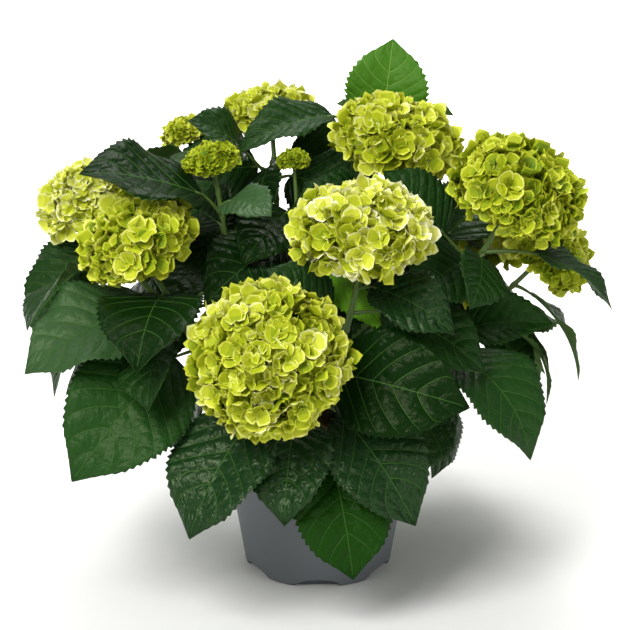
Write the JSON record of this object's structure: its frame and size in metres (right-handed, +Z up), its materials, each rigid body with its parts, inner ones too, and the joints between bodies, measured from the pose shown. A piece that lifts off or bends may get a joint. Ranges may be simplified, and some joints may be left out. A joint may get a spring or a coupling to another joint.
{
  "type": "potted hydrangea shrub",
  "caption": "Leafy mophead hydrangea in flower, many stems from one crown with domed lime-green flower heads and broad toothed leaves, in a round tapered nursery pot.",
  "frame": {"origin": "centre of the container's flat underside", "axes": "+Z up along the container's axis, -Y towards the plant's front, where its lowest and largest flower head hangs over the rim"},
  "size_m": [0.5748, 0.5017, 0.5023],
  "materials": {
    "container": "smooth matte anthracite polypropylene",
    "soil": "damp peat-like potting mix",
    "wood": "woody hydrangea stem",
    "foliage": "soft leaves and flower heads"
  },
  "bodies": {
    "root": {"container": "container", "potting_mix": "soil", "crown": "wood", "cane_front": "wood", "cane_middle": "wood", "cane_right": "wood", "cane_far_right": "wood", "cane_left": "wood", "cane_far_left": "wood", "cane_top": "wood", "cane_leafy_top": "wood", "cane_top_left": "wood", "cane_small_left": "wood", "cane_small_back": "wood", "cane_small_middle": "wood", "cane_leafy_left": "wood", "cane_leafy_right": "wood", "cane_back": "wood", "cane_back_right": "wood", "cane_back_left": "wood", "cane_back_low": "wood", "foliage_front": "foliage", "foliage_middle": "foliage", "foliage_right": "foliage", "foliage_far_right": "foliage", "foliage_left": "foliage", "foliage_far_left": "foliage", "foliage_top": "foliage", "foliage_leafy_top": "foliage", "foliage_top_left": "foliage", "foliage_small_left": "foliage", "foliage_small_back": "foliage", "foliage_small_middle": "foliage", "foliage_leafy_left": "foliage", "foliage_leafy_right": "foliage", "foliage_back": "foliage", "foliage_back_right": "foliage", "foliage_back_left": "foliage", "foliage_back_low": "foliage"}
  },
  "joints": []
}
